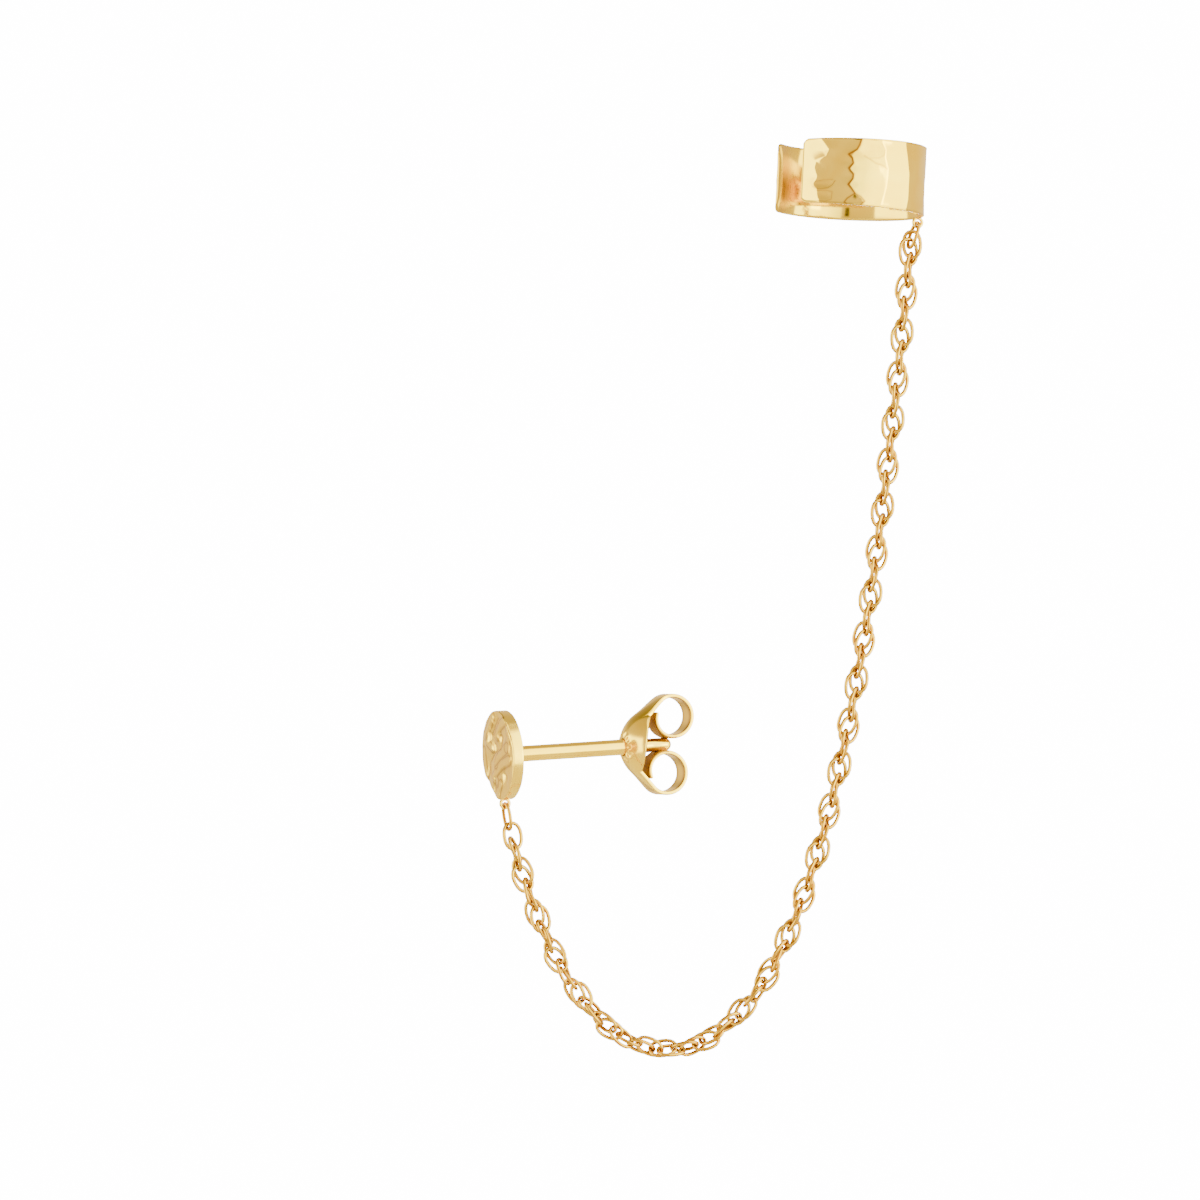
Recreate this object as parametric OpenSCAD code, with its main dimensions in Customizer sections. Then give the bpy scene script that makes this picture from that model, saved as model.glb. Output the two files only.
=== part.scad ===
// Ear chain earring: a disc stud with a butterfly back, joined by a fine loose
// rope chain to an open ear cuff. Millimetres, +Z up. The origin lies on the
// post's axis, where the ear lobe sits, and the chain hangs under its own weight.

/* [Stud] */
// Diameter of the disc
disc_d = 5.6; // [5:0.1:6]
// Thickness of the disc
disc_t = 0.8; // [0.7:0.05:0.9]
// Diameter of the post
post_d = 1; // [0.9:0.02:1.04]
// Diameter of the post's end, past the dish
post_end_d = 0.86; // [0.7:0.02:0.88]
// Length of the post behind the disc
post_len = 10.9; // [10.6:0.1:12]
// Room for the ear lobe, from the disc to the dish
lobe_gap = 7.6; // [7.4:0.1:7.8]
// Turn of the post away from the picture plane, degrees
post_turn = 21; // [19:1:23]
// Rise of the post towards its tip, degrees
post_rise = 3.3; // [2.5:0.1:4]

/* [Butterfly back] */
// Outer radius of the domed dish
dish_r = 2.4; // [2.35:0.01:2.45]
// Thickness of the sheet metal
sheet_t = 0.25; // [0.2:0.01:0.3]
// Height of the dish, along its strip
dish_h = 4.56; // [4.4:0.02:4.6]
// Width of the dish, across its strip
dish_w = 3.8; // [3.4:0.1:4]
// Depth of the dish, from its top to its rim
dish_depth = 1.8; // [1.75:0.01:1.82]
// Width of the rolled strip
strip_w = 1.5; // [1.2:0.1:1.8]
// Outer radius of a scroll
scroll_r = 1.41; // [1.38:0.01:1.43]
// Distance from the post's axis to a scroll's centre
scroll_off = 1.76; // [1.74:0.01:1.8]
// Distance from the dish's top to the scrolls' centres
scroll_back = 3; // [2.95:0.01:3.05]
// Distance that the upper scroll lies further back than that, and the lower one less
scroll_lean = 0.3; // [0:0.05:0.3]
// Radius of a scroll's inner turn, at mid sheet
curl_r = 1.12; // [1.05:0.01:1.15]

/* [Ear cuff] */
// Diameter of the cuff, outside
cuff_d = 9.6; // [9.4:0.1:9.8]
// Thickness of the cuff's band
cuff_t = 0.5; // [0.4:0.05:0.55]
// Width of the cuff's band
cuff_w = 4.3; // [4.2:0.1:4.4]
// Opening of the ring, degrees
cuff_gap = 65; // [50:1:80]
// Size of the cut corners of the band's free ends
cuff_corner = 0.5; // [0.3:0.05:0.8]

/* [Chain] */
// Thickness of the links' wire
wire_d = 0.14; // [0.12:0.01:0.14]
// Length of a link, between the middles of its end wires
link_l = 1.66; // [1.65:0.01:1.68]
// Width of a link, between the middles of its side wires
link_w = 1.14; // [1.13:0.01:1.16]
// Step from one pair of links to the next, along the run
pair_step = 1.368; // [1.365:0.001:1.37]
// Radius of the run's lowest bend
sag_r = 4.89; // [4.87:0.01:4.9]

/* [Eyelets] */
// Radius of an eyelet, at the middle of its wire
eye_r = 0.28; // [0.28:0.01:0.29]
// Thickness of an eyelet's wire
eye_wire_d = 0.16; // [0.16:0.01:0.17]
// Distance of an eyelet's centre below the rim that it is soldered to
eye_drop = 0.23; // [0.22:0.01:0.24]

/* [Hidden] */
$fn = 96;
gold = [0.93, 0.74, 0.38];

// Post: its run starts at the back of the disc, half the lobe's room before the origin
disc_back = -lobe_gap / 2;
dish_top = lobe_gap / 2;
post_tip = disc_back + post_len;
post_neck = dish_top + dish_depth - 0.4;
hole_clear = 0.06;
groove_clear = 0.04;

// Dish: its outline is the lens that two circles share
lens_r = (pow(dish_h / 2, 2) + pow(dish_w / 2, 2)) / dish_w;
lens_off = lens_r - dish_w / 2;

// Scrolls: angles round their centres
strip_low = 270;
strip_end = 156;

// Arms of the strip: each dips a little into the dish and the scroll, and laps over both
scroll_mid_r = scroll_r - sheet_t / 2;
arm_dip = 0.02;
arm_root = 0.3;
arm_lap = sqrt(2 * arm_dip * scroll_mid_r);
arm_lap_turn = asin(arm_lap / scroll_mid_r);

// Cuff: its middle, and the turns of its ring, opening and eyelet
cuff_x = 17.78;
cuff_z = 35.73;
cuff_lean = [-4.1, 2.7, 0];
band_mid = 17.85;
eye_turn = 20;
cuff_inner_r = cuff_d / 2 - cuff_t;

// Run: its lowest point, the place of its first link and its number of pairs
low_x = 6.36;
low_z = -18.66;
run_start = -17.52;
pairs = 53;
pairs_below = 26;

// Links of a pair: the first lies before the second, and they lean across each other
pair_lag = 0.498;
pair_side = 0.095;
pair_twist = 14.8;
pair_nod = 5;
pair_yaw = -9.3;
hook_depth = 0.28;

// Facets of a link and of its wire
link_sides = 12;
wire_sides = 5;

function unit(v) = v / norm(v);

// A point of the stud's own frame, s along the post and h above it, in the part's frame
function stud_point(s, h) =
    let (out = s * cos(post_rise) - h * sin(post_rise))
    [out * cos(post_turn), out * sin(post_turn), s * sin(post_rise) + h * cos(post_rise)];

// A direction of the cuff's own frame, in the part's frame
function cuff_turned(p) =
    let (a = cuff_lean.x, b = cuff_lean.y)
    let (y = p.y * cos(a) - p.z * sin(a), z = p.y * sin(a) + p.z * cos(a))
    [p.x * cos(b) + z * sin(b), y, z * cos(b) - p.x * sin(b)];

stud_eye_s = disc_back - disc_t / 2;
stud_eye_h = -disc_d / 2 - eye_drop;
stud_eye = stud_point(stud_eye_s, stud_eye_h);
chain_y = stud_eye.y;

cuff_eye_r = cuff_inner_r + eye_r + eye_wire_d / 2;
cuff_eye_z = -cuff_w / 2 - eye_drop;
cuff_eye_turned = cuff_turned([cuff_eye_r * cos(eye_turn), cuff_eye_r * sin(eye_turn), cuff_eye_z]);
cuff_at = [cuff_x, chain_y - cuff_eye_turned.y, cuff_z];
cuff_eye = cuff_at + cuff_eye_turned;

// The run of the chain is a catenary, and s is the length along it from its lowest point
function run_point(s) =
    let (k = s / sag_r)
    [low_x + sag_r * ln(k + sqrt(k * k + 1)), chain_y, low_z + sag_r * (sqrt(k * k + 1) - 1)];
function run_slope(s) = atan(s / sag_r);

// The links turn a quarter from pair to pair, and an eighth more on each side of the bend
function run_roll(s) = 45 + 45 * sin(90 * max(-1, min(1, s / 16)));
function link_place(i) = run_start + pair_step * ceil(i / 2) - (i % 2 == 1 ? pair_lag : 0);
function link_roll(i) = 90 * ceil(i / 2) + run_roll(link_place(i));

// One link: an oval of straight stretches with mitred corners
function oval_point(j) =
    let (a = (j + 0.5) * 360 / link_sides, grow = 1 / cos(180 / link_sides) / 2)
    [link_l * grow * cos(a), link_w * grow * sin(a)];
function mitre(j) =
    let (into = unit(oval_point(j) - oval_point(j - 1)))
    let (away = unit(oval_point(j + 1) - oval_point(j)))
    let (along = unit(into + away))
    [along.y, -along.x] / (along * away);
link_points = [
    for (j = [0 : link_sides - 1])
        for (k = [0 : wire_sides - 1])
            let (c = oval_point(j), m = mitre(j), b = k * 360 / wire_sides)
            [c.x + wire_d / 2 * cos(b) * m.x, c.y + wire_d / 2 * cos(b) * m.y, wire_d / 2 * sin(b)]
];
function corner(j, k) = (j % link_sides) * wire_sides + k % wire_sides;
link_faces = [
    for (j = [0 : link_sides - 1])
        for (k = [0 : wire_sides - 1])
            [corner(j, k), corner(j, k + 1), corner(j + 1, k + 1), corner(j + 1, k)]
];

module chain_link() polyhedron(link_points, link_faces, convexity = 4);

module hung_link(i) {
    side = i % 2 == 1 ? -1 : 1;
    translate(run_point(link_place(i)))
        rotate([90, 0, 0])
            rotate([0, 0, run_slope(link_place(i))])
                rotate([link_roll(i), 0, 0])
                    translate([0, side * pair_side, 0])
                        rotate([-side * pair_twist, 0, 0])
                            rotate([0, -side * pair_nod, 0])
                                rotate([0, 0, pair_yaw])
                                    chain_link();
}

// A link that hangs in an eyelet and holds the run at the point it reaches towards
module end_link(eye, towards, roll) {
    way = unit(towards - eye);
    translate(eye + way * link_l / 2)
        rotate([90, 0, 0])
            rotate([0, 0, atan2(way.z, way.x)])
                rotate([roll, 0, 0])
                    chain_link();
}

module eyelet() {
    rotate([90, 0, 0])
        rotate_extrude()
            translate([eye_r, 0])
                circle(d = eye_wire_d, $fn = 32);
}

module in_stud_frame() {
    rotate([0, -post_rise, post_turn])
        children();
}

module along_post(from) {
    translate([from, 0, 0])
        rotate([0, 90, 0])
            children();
}

module disc() {
    along_post(disc_back - disc_t)
        cylinder(d = disc_d, h = disc_t);
}

module post() {
    along_post(disc_back)
        cylinder(d = post_d, h = post_neck - disc_back);
    along_post(post_neck)
        cylinder(d = post_end_d, h = post_tip - post_end_d / 2 - post_neck);
    along_post(post_tip - post_end_d / 2)
        sphere(d = post_end_d);
}

module stud() {
    color(gold)
        in_stud_frame() {
            disc();
            post();
            translate([stud_eye_s, 0, stud_eye_h])
                eyelet();
        }
}

// Flat shapes of the butterfly back
module wedge(from, to) {
    reach = 2 * scroll_r;
    mid = (from + to) / 2;
    polygon([
        [0, 0],
        reach * [cos(from), sin(from)],
        reach * 1.5 * [cos(mid), sin(mid)],
        reach * [cos(to), sin(to)]
    ]);
}

module sheet_ring(mid_r) {
    difference() {
        circle(r = mid_r + sheet_t / 2);
        circle(r = mid_r - sheet_t / 2);
    }
}

module dish_outline() {
    intersection() {
        translate([lens_off, 0])
            circle(r = lens_r);
        translate([-lens_off, 0])
            circle(r = lens_r);
    }
}

// An arm leaves the dish and reaches the scroll along the tangent of both circles
module arm_outline(dish_mid, mid, turn) {
    out = [cos(turn), sin(turn)];
    along = [sin(turn), -cos(turn)];
    root = dish_mid + (dish_r - arm_dip) * out - arm_root * along;
    tip = mid + (scroll_r - arm_dip) * out + arm_lap * along;
    polygon([root, tip, tip - sheet_t * out, root - sheet_t * out]);
}

module dish() {
    intersection() {
        difference() {
            along_post(dish_top + dish_r)
                sphere(r = dish_r);
            along_post(dish_top + dish_r)
                sphere(r = dish_r - sheet_t);
        }
        translate([dish_top - sheet_t, 0, 0])
            rotate([90, 0, 90])
                linear_extrude(dish_depth + sheet_t)
                    dish_outline();
    }
}

module scroll(back) {
    dish_mid = [dish_top + dish_r, 0];
    mid = [dish_top + back, scroll_off];
    way = mid - dish_mid;
    turn = atan2(way.y, way.x) + acos((dish_r - scroll_r) / norm(way));
    rotate([90, 0, 0])
        linear_extrude(strip_w, center = true)
            arm_outline(dish_mid, mid, turn);
    translate([mid.x, 0, mid.y])
        rotate([90, 0, 0])
            linear_extrude(strip_w, center = true)
                difference() {
                    sheet_ring(scroll_mid_r);
                    wedge(turn + arm_lap_turn, strip_low);
                }
    translate([mid.x, 0, mid.y - scroll_mid_r + curl_r])
        rotate([90, 0, 0])
            linear_extrude(strip_w, center = true)
                intersection() {
                    sheet_ring(curl_r);
                    wedge(strip_end, strip_low);
                }
}

module butterfly_back() {
    color(gold)
        in_stud_frame()
            difference() {
                union() {
                    dish();
                    scroll(scroll_back + scroll_lean);
                    mirror([0, 0, 1])
                        scroll(scroll_back - scroll_lean);
                }
                along_post(dish_top - sheet_t)
                    cylinder(d = post_d + 2 * hole_clear, h = dish_depth);
                along_post(dish_top + dish_depth)
                    cylinder(d = post_end_d + 2 * groove_clear, h = 2 * scroll_back);
            }
}

// Chain
module chain_lower() {
    hook = run_start - link_l / 2 + hook_depth;
    color(gold) {
        end_link(stud_eye, run_point(hook), 90 - post_turn);
        for (i = [0 : 2 * pairs_below])
            hung_link(i);
    }
}

module chain_upper() {
    hook = link_place(2 * pairs + 1) - link_l / 2;
    color(gold) {
        for (i = [2 * pairs_below + 1 : 2 * pairs])
            hung_link(i);
        end_link(cuff_eye, run_point(hook), 90 - eye_turn);
    }
}

// Cuff
module corner_cut() {
    c = cuff_corner;
    top = cuff_w / 2;
    rotate([90, 0, 90])
        linear_extrude(cuff_d / 2 + cuff_t)
            polygon([
                [-0.3 * c, top - 1.7 * c],
                [0.3 * c, top - 0.3 * c],
                [1.7 * c, top + 0.3 * c],
                [-0.3 * c, top + 0.3 * c]
            ]);
}

module band() {
    start = band_mid - 180 + cuff_gap / 2;
    end = band_mid + 180 - cuff_gap / 2;
    difference() {
        rotate([0, 0, start])
            rotate_extrude(angle = end - start)
                translate([cuff_inner_r, -cuff_w / 2])
                    square([cuff_t, cuff_w]);
        for (up = [0, 1])
            mirror([0, 0, up]) {
                rotate([0, 0, start])
                    corner_cut();
                rotate([0, 0, end])
                    mirror([0, 1, 0])
                        corner_cut();
            }
    }
}

module ear_cuff() {
    color(gold)
        translate(cuff_at)
            rotate(cuff_lean) {
                band();
                rotate([0, 0, eye_turn])
                    translate([cuff_eye_r, 0, cuff_eye_z])
                        eyelet();
            }
}

stud();
butterfly_back();
chain_lower();
chain_upper();
ear_cuff();
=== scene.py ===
# Looks of the ear chain earring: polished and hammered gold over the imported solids.
import math

import bmesh
import bpy
import numpy as np
from mathutils import Matrix, Vector


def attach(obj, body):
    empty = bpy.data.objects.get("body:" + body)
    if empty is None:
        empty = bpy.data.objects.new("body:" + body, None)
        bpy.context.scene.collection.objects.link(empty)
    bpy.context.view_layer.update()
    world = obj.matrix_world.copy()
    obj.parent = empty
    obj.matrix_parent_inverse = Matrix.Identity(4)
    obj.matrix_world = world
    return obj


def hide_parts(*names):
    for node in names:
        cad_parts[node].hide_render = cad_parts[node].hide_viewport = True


# Sizes are in millimetres and turns in degrees. Times MM they are metres, as the objects are.
MM = 0.001

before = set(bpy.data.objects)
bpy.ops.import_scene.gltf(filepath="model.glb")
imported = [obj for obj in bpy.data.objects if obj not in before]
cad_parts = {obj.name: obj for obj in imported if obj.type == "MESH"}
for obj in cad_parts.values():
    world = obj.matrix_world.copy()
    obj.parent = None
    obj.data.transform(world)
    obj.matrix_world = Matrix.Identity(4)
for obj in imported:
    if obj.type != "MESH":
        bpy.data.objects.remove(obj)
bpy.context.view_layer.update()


def turn(axis, degrees):
    """The matrix of a turn about an axis."""
    return np.array(Matrix.Rotation(math.radians(degrees), 3, axis))


# The stud's own frame: s along the post, v across it, t up. The cuff's own frame: z along its ring's axis.
STUD_TURN = turn("Z", 21) @ turn("Y", -3.3)
CUFF_TURN = turn("Y", 2.7) @ turn("X", -4.1)
CUFF_AT = np.array([17.78, -2.8596, 35.73])
NO_MOVE = np.zeros(3)


# Node trees


class Num:
    """A number on a node's socket. Arithmetic with it adds Math nodes to its tree."""

    def __init__(self, tree, socket):
        self.tree = tree
        self.socket = socket

    def math(self, operation, *values):
        node = add(self.tree, "ShaderNodeMath", {"operation": operation}, dict(enumerate(values)))
        return Num(self.tree, node.outputs[0])

    def __add__(self, other):
        return self.math("ADD", self, other)

    def __radd__(self, other):
        return self.math("ADD", other, self)

    def __sub__(self, other):
        return self.math("SUBTRACT", self, other)

    def __rsub__(self, other):
        return self.math("SUBTRACT", other, self)

    def __mul__(self, other):
        return self.math("MULTIPLY", self, other)

    def __rmul__(self, other):
        return self.math("MULTIPLY", other, self)

    def __truediv__(self, other):
        return self.math("DIVIDE", self, other)

    def __rtruediv__(self, other):
        return self.math("DIVIDE", other, self)

    def __pow__(self, other):
        return self.math("POWER", self, other)

    def __neg__(self):
        return self.math("MULTIPLY", self, -1)

    def __abs__(self):
        return self.math("ABSOLUTE", self)

    def least(self, other):
        return self.math("MINIMUM", self, other)

    def most(self, other):
        return self.math("MAXIMUM", self, other)

    def within(self, low, high):
        return self.most(low).least(high)

    def ease(self, low, high):
        """0 below low and 1 above high, with a smooth rise between them."""
        node = add(self.tree, "ShaderNodeMapRange", {"interpolation_type": "SMOOTHSTEP"},
                   {"Value": self, "From Min": low, "From Max": high})
        return Num(self.tree, node.outputs[0])


def add(tree, kind, settings=None, sockets=None):
    """One node of a kind: its settings first, then the values or links of its sockets."""
    node = tree.nodes.new(kind)
    for name, value in (settings or {}).items():
        setattr(node, name, value)
    for name, value in (sockets or {}).items():
        socket = node.inputs[name]
        if isinstance(value, Num):
            value = value.socket
        if isinstance(value, bpy.types.NodeSocket):
            tree.links.new(value, socket)
        else:
            socket.default_value = value
    return node


def mix_colour(tree, factor, one, two):
    node = add(tree, "ShaderNodeMix", {"data_type": "RGBA"}, {"Factor": factor, "A": one, "B": two})
    return node.outputs["Result"]


# Gold finishes

# The colour of painted shade and painted reflection in folds, creases and hollows, where gold mirrors gold
SHADE = (0.28, 0.10, 0.002)


def gold_finish(name, deep, pale, rough, grain, dent):
    """Plated gold that changes softly from deep to pale, with hazy roughness, fine grain and shallow dents,
    whose heights are in millimetres. The piece's own marks say where painted shade and painted reflection
    deepen its colour towards SHADE, and where it is less glossy, by dull."""
    material = bpy.data.materials.new(name)
    material.use_nodes = True
    tree = material.node_tree
    tree.nodes.clear()
    place = add(tree, "ShaderNodeTexCoord").outputs["Object"]
    streaks = add(tree, "ShaderNodeMapping", None, {"Vector": place, "Scale": (1.0, 1.0, 7.0)}).outputs[0]

    def clouds(scale, detail, distortion=0.0, at=place):
        """Soft noise from 0 to 1. Its scale is in clouds to the millimetre."""
        node = add(tree, "ShaderNodeTexNoise", {"noise_dimensions": "3D"},
                   {"Vector": at, "Scale": scale / MM, "Detail": detail, "Distortion": distortion})
        return Num(tree, node.outputs["Fac"])

    def mark(label):
        return Num(tree, add(tree, "ShaderNodeAttribute", {"attribute_name": label}).outputs["Fac"])

    tone = clouds(0.55, 3.0, 0.6).ease(0.3, 0.7)
    haze = clouds(1.9, 4.0)
    scratches = clouds(4.0, 2.0, at=streaks)
    surface = clouds(1.1, 2.0) * dent + clouds(9.0, 2.0) * grain + scratches * (grain * 0.6)
    bump = add(tree, "ShaderNodeBump", None, {"Strength": 1.0, "Distance": MM, "Height": surface})
    # The gold's own tone varies at random; the piece's mark then mixes in SHADE as painted shade and painted
    # reflection
    gold = mix_colour(tree, tone, (*deep, 1), (*pale, 1))
    shader = add(tree, "ShaderNodeBsdfPrincipled", None, {
        "Base Color": mix_colour(tree, mark("recess").within(0, 1), gold, (*SHADE, 1)),
        "Metallic": 1.0,
        "Roughness": haze * (rough * 0.7) + rough * 0.65 + mark("dull"),
        "Normal": bump.outputs[0],
    })
    add(tree, "ShaderNodeOutputMaterial", None, {"Surface": shader.outputs[0]})
    return material


polished = gold_finish("polished_gold", (0.98, 0.72, 0.05), (1.0, 0.79, 0.09), 0.09, 0.0006, 0.004)
hammered = gold_finish("hammered_gold", (0.98, 0.73, 0.05), (1.0, 0.80, 0.09), 0.08, 0.0006, 0.005)
satin = gold_finish("satin_gold", (0.97, 0.73, 0.07), (1.0, 0.80, 0.12), 0.16, 0.0020, 0.010)
stamped = gold_finish("stamped_gold", (0.98, 0.72, 0.05), (1.0, 0.79, 0.09), 0.15, 0.0010, 0.006)
link_gold = gold_finish("link_gold", (0.94, 0.59, 0.02), (0.99, 0.71, 0.05), 0.10, 0.0006, 0.003)


# Shapes


def skin(rows, wrap_rows=False, caps=()):
    """Points and faces of a net of closed rows. caps lists the corners of the faces that close its ends."""
    count, width = rows.shape[:2]
    index = np.arange(count * width).reshape(count, width)
    faces = []
    for i in range(count if wrap_rows else count - 1):
        here, there = index[i], index[(i + 1) % count]
        for j in range(width):
            k = (j + 1) % width
            faces.append((here[j], here[k], there[k], there[j]))
    for row, flip in ((index[0], True), (index[-1], False)):
        for a, b, c, d in caps:
            corners = (row[a], row[b], row[c], row[d])
            faces.append(corners[::-1] if flip else corners)
    return rows.reshape(-1, 3), [tuple(int(k) for k in f) for f in faces]


def piece(name, nets, frame_turn, move, material, node):
    """One object out of several nets, in the part's frame, that stands for a node of the solids. A net is its
    points, its faces and, where it has any, the marks of its points: painted shade and dull."""
    points, faces = [], []
    marks = {"recess": [], "dull": []}
    for some_points, some_faces, *rest in nets:
        shift = sum(len(p) for p in points)
        points.append(some_points)
        faces += [tuple(k + shift for k in face) for face in some_faces]
        own = rest[0] if rest else {}
        for mark, values in marks.items():
            values.append(own.get(mark, np.zeros(len(some_points))))
    placed = (np.concatenate(points) @ frame_turn.T + move) * MM
    mesh = bpy.data.meshes.new(name)
    mesh.from_pydata(placed.tolist(), [], faces)
    for mark, values in marks.items():
        mesh.attributes.new(mark, "FLOAT", "POINT").data.foreach_set("value", np.concatenate(values))
    shape = bmesh.new()
    shape.from_mesh(mesh)
    bmesh.ops.remove_doubles(shape, verts=shape.verts, dist=2e-7)
    bmesh.ops.recalc_face_normals(shape, faces=shape.faces)
    shape.to_mesh(mesh)
    shape.free()
    dress(name, mesh, material, node)


def dress(name, mesh, material, node):
    """An object for a finished mesh, with its finish, its body and the node that it stands for."""
    mesh.shade_smooth()
    if not mesh.materials:
        mesh.materials.append(material)
    item = bpy.data.objects.new(name, mesh)
    bpy.context.scene.collection.objects.link(item)
    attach(item, "root")
    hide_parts(node)


def ease_in(value, low, high):
    """0 below low and 1 above high, with a smooth rise between them."""
    share = np.clip((value - low) / (high - low), 0, 1)
    return share * share * (3 - 2 * share)


def line_distance(places, line):
    """Distance of each place from a line of straight stretches."""
    near = np.full(len(places), np.inf)
    for start, end in zip(line[:-1], line[1:]):
        way = end - start
        share = np.clip((places - start) @ way / (way @ way), 0, 1)
        near = np.minimum(near, np.linalg.norm(places - start - share[:, None] * way, axis=1))
    return near


def bowls(places, marks, span, depth, soft):
    """Depth of hammer marks: shallow bowls that meet in soft ridges."""
    apart = ((places[:, None, :] - marks[None, :, :2]) ** 2).sum(axis=2)
    cuts = depth * marks[None, :, 2] * (1 - apart / span**2)
    top = cuts.max(axis=1)
    return top + np.log(np.exp((cuts - top[:, None]) / soft).sum(axis=1)) * soft


def scatter(seed, low, high, step, jitter):
    """Hammer marks over a rectangle: places in staggered rows, and a strength for each."""
    chance = np.random.RandomState(seed)
    marks = []
    for row, y in enumerate(np.arange(low[1] - step[1], high[1] + step[1], step[1])):
        for x in np.arange(low[0] - step[0], high[0] + step[0], step[0]):
            at = np.array([x + step[0] / 2 * (row % 2), y]) + (chance.rand(2) - 0.5) * jitter
            marks.append((at[0], at[1], 0.55 + 0.45 * chance.rand()))
    return np.array(marks)


# An eyelet's radius at the middle of its wire, and the wire's own radius
EYE_R, EYE_WIRE_R = 0.28, 0.105


def eyelet_net(place, degrees=0):
    """A ring of round wire whose hole looks along y, moved to its place and then turned round the z axis."""
    a = np.linspace(0, 2 * np.pi, 40, endpoint=False)[:, None]
    b = np.linspace(0, 2 * np.pi, 14, endpoint=False)[None, :]
    r = EYE_R + EYE_WIRE_R * np.cos(b)
    rows = np.stack([r * np.cos(a), EYE_WIRE_R * np.sin(b) + 0 * a, r * np.sin(a)], axis=2)
    points, faces = skin(rows, wrap_rows=True)
    return (points + np.array(place)) @ turn("Z", degrees).T, faces


# Stud

# The disc: its radius, its front and back along the post, and how far the edges of both are rounded
DISC_R = 2.8
DISC_FRONT, DISC_BACK = -4.6, -3.8
FRONT_EDGE, BACK_EDGE = 0.09, 0.05

# The disc's outline: the depth of its soft dents, then the turn, half width and depth of its nick
RIM_DENTS = 0.03
NICK_TURN, NICK_HALF, NICK_DEPTH = 307.0, 17.0, 0.25

# The disc's face: how much of the folds' heights shows, half the width and the painted shade of a crease at a
# fold's foot, and how far below the front the face lies where it has no fold, and where it is lowest
FOLD_RISE = 0.8
CREASE_HALF, CREASE_SHADE = 0.08, 0.62
FACE_PLAIN, FACE_LOW = 0.05, 0.36

# The post: its radius, how far it is sunk into the disc, and its solder fillet
POST_R, POST_SUNK, POST_FILLET = 0.5, 0.2, 0.16

# Its end: where it narrows, its radius there and where its tip begins, then the rings of the soft shoulder:
# how far past the neck each one lies, and its radius
POST_NECK, POST_END_R, POST_TIP = 5.0, 0.43, 6.67
POST_SHOULDER = [(0.08, 0.49), (0.14, 0.455), (0.2, POST_END_R)]

# The middle of the stud's eyelet
STUD_EYE = (-4.2, 0, -3.03)

# Hammered folds of the disc's face: places across and along it, half a width, and a height (below 0: a fold)
DISC_FOLDS = [
    ([(0.5, 2.4), (1.3, 1.7), (1.9, 1.2)], 0.30, 0.10),
    ([(-0.3, 2.3), (0.4, 1.7), (1.0, 1.2)], 0.28, -0.11),
    ([(-1.8, 2.2), (-0.9, 1.9), (-0.1, 1.2)], 0.32, 0.13),
    ([(0.6, 0.8), (0.5, 0.7)], 0.36, -0.13),
    ([(1.4, 1.1), (1.6, 0.8), (0.9, 0.4)], 0.26, 0.09),
    ([(-2.1, 1.7), (-2.2, 1.1), (-1.8, 0.5)], 0.34, 0.10),
    ([(-0.8, 1.1), (-0.6, 0.4)], 0.30, -0.13),
    ([(-1.9, 0.5), (-0.7, 0.1), (0.0, -0.2), (0.2, -0.5)], 0.34, 0.14),
    ([(0.2, 0.3), (1.0, -0.1), (1.5, -0.5), (2.0, -1.6)], 0.40, -0.13),
    ([(-2.1, -0.3), (-0.7, -0.6), (0.2, -1.0), (0.8, -1.4), (0.2, -1.7)], 0.32, 0.14),
    ([(-1.1, -1.3), (-1.2, -1.4)], 0.34, -0.13),
    ([(-0.4, -1.8), (0.0, -2.2), (0.2, -2.6)], 0.30, 0.12),
    ([(2.3, 0.3), (2.3, -0.4), (2.2, -1.2)], 0.26, 0.04),
    ([(0.5, -1.6), (0.9, -2.2)], 0.28, -0.11),
]


def folded_face(v, t):
    """Depth of the disc's face below its highest folds, and the strength of the painted shade in the creases
    beside them.
    """
    places = np.column_stack([v.ravel(), t.ravel()])
    rise, crease = np.zeros(len(places)), np.zeros(len(places))
    for line, half, height in DISC_FOLDS:
        away = line_distance(places, np.array(line)) / half
        rise += FOLD_RISE * height * np.exp(-(away**1.6))
        foot = 0.0 if height < 0 else 1.0
        crease = np.maximum(crease, np.exp(-(((away - foot) * half / CREASE_HALF) ** 2)))
    marks = scatter(11, low=(-2.9, -2.9), high=(2.9, 2.9), step=(0.52, 0.66), jitter=(0.4, 0.4))
    dents = bowls(places, marks, span=0.55, depth=0.045, soft=0.005)
    return (FACE_PLAIN - rise + dents).reshape(v.shape), crease.reshape(v.shape)


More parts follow.
